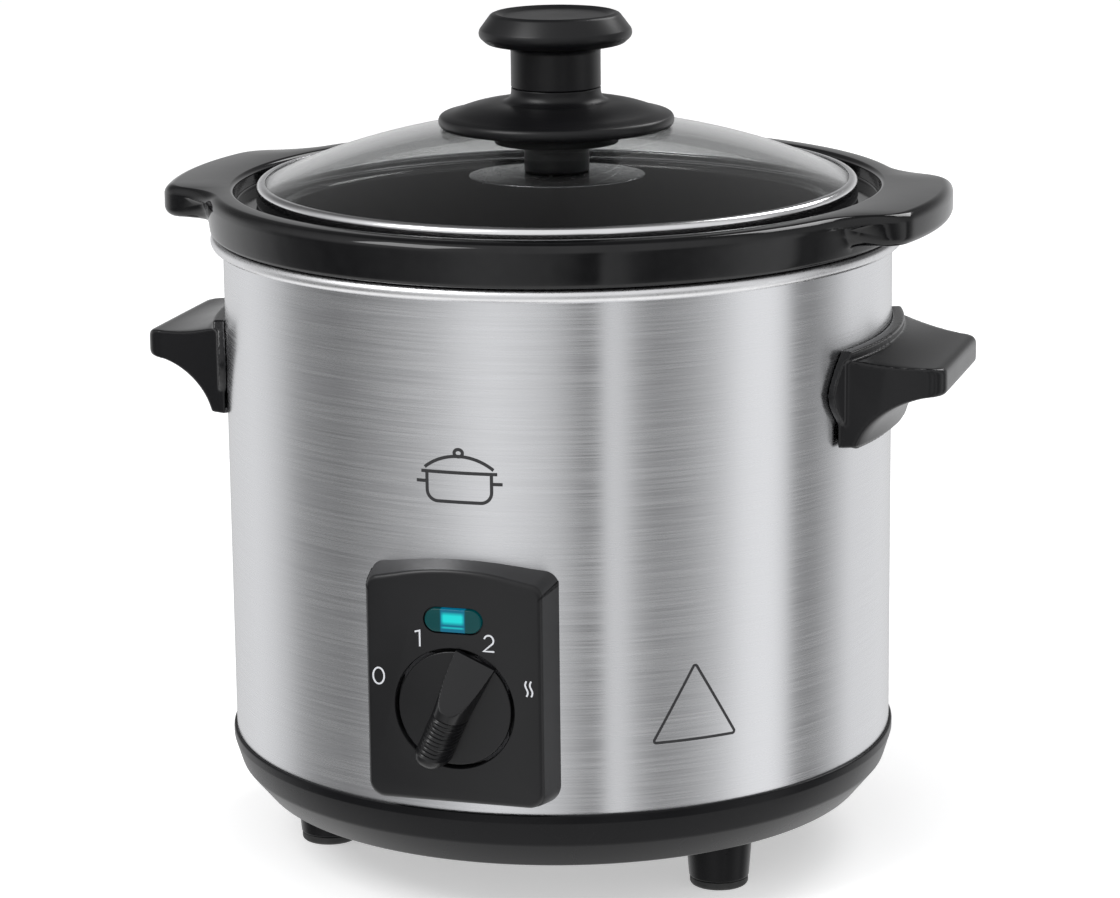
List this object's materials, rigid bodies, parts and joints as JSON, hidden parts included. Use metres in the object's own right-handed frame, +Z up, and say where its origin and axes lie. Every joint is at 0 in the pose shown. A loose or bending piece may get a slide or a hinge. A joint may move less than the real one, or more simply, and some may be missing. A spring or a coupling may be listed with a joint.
{
  "type": "slow cooker",
  "caption": "Compact round electric slow cooker: steel heating base with a control panel, lift-out stoneware crock and domed glass lid, standing on feet.",
  "frame": {"origin": "on the floor under the centre of the round body, at the height the rubber foot pads stand on", "axes": "+Z up along the axis of the round body and crock, -Y out of the front through the control dial, +Y out of the rear through the cord inlet, +X through the handle on the right as the front is faced"},
  "size_m": [0.234, 0.2119, 0.2393],
  "materials": {
    "black_glaze": "gloss black glaze",
    "black_plastic": "satin black",
    "black_rubber": "matte",
    "brass_part": "machined brass",
    "bright_steel": "polished stainless",
    "clear_glass": "clear tempered glass",
    "handle_plastic": "satin phenolic",
    "heater_cloth": "woven glass-fibre band",
    "knob_plastic": "satin phenolic",
    "lamp_glass": "clear glass",
    "lead_brown": "silicone sleeve",
    "lead_white": "silicone sleeve",
    "liner_steel": "aluminised sheet",
    "plated_steel": "zinc plated",
    "shell_steel": "fine horizontal brushing",
    "silicone": "matte silicone",
    "switch_plastic": "moulded dark grey",
    "teal_lens": "translucent teal, lit",
    "white_plastic": "moulded white"
  },
  "bodies": {
    "housing": {"outer_shell": "shell_steel", "heating_liner": "liner_steel", "heater_band": "heater_cloth", "band_clamp": "plated_steel", "clamp_screw": "plated_steel", "base_pan": "black_plastic", "foot_front_right": "black_plastic", "foot_front_left": "black_plastic", "foot_rear": "black_plastic", "foot_pad_front_right": "black_rubber", "foot_pad_front_left": "black_rubber", "foot_pad_rear": "black_rubber", "foot_screws": "plated_steel", "handle_right": "handle_plastic", "handle_left": "handle_plastic", "handle_plate_right": "plated_steel", "handle_plate_left": "plated_steel", "handle_screws": "plated_steel", "control_housing": "black_plastic", "panel_screws": "plated_steel", "rotary_switch": "switch_plastic", "indicator_lens": "teal_lens", "indicator_lamp": "lamp_glass", "lamp_clip": "plated_steel", "centre_stud": "plated_steel", "centre_washer": "plated_steel", "centre_nut": "plated_steel", "thermal_fuse": "bright_steel", "fuse_clip": "plated_steel", "terminal_block": "white_plastic", "cord_gland": "black_plastic", "lead_supply": "lead_brown", "lead_switch_feed": "lead_white", "lead_heater_feed": "lead_white", "lead_heater_return": "lead_brown"},
    "crock": {"stoneware_crock": "black_glaze"},
    "lid": {"lid_glass": "clear_glass", "lid_bezel": "bright_steel", "knob_base": "knob_plastic", "knob_cap": "knob_plastic", "lid_seal": "silicone", "lid_boss": "silicone", "lid_disc": "bright_steel", "knob_screw": "plated_steel"},
    "dial": {"dial_knob": "black_plastic", "switch_spindle": "brass_part"}
  },
  "joints": [
    {"name": "crock_lift", "type": "slide", "parent": "housing", "child": "crock", "axis": [0, 0, 1], "range_m": [0, 0.15]},
    {"name": "lid_lift", "type": "slide", "parent": "crock", "child": "lid", "axis": [0, 0, 1], "range_m": [0, 0.1]},
    {"name": "dial_turn", "type": "hinge", "parent": "housing", "child": "dial", "pos_m": [0, -0.1, 0.0653], "axis": [0, -1, 0], "range_deg": [-48, 96]}
  ]
}
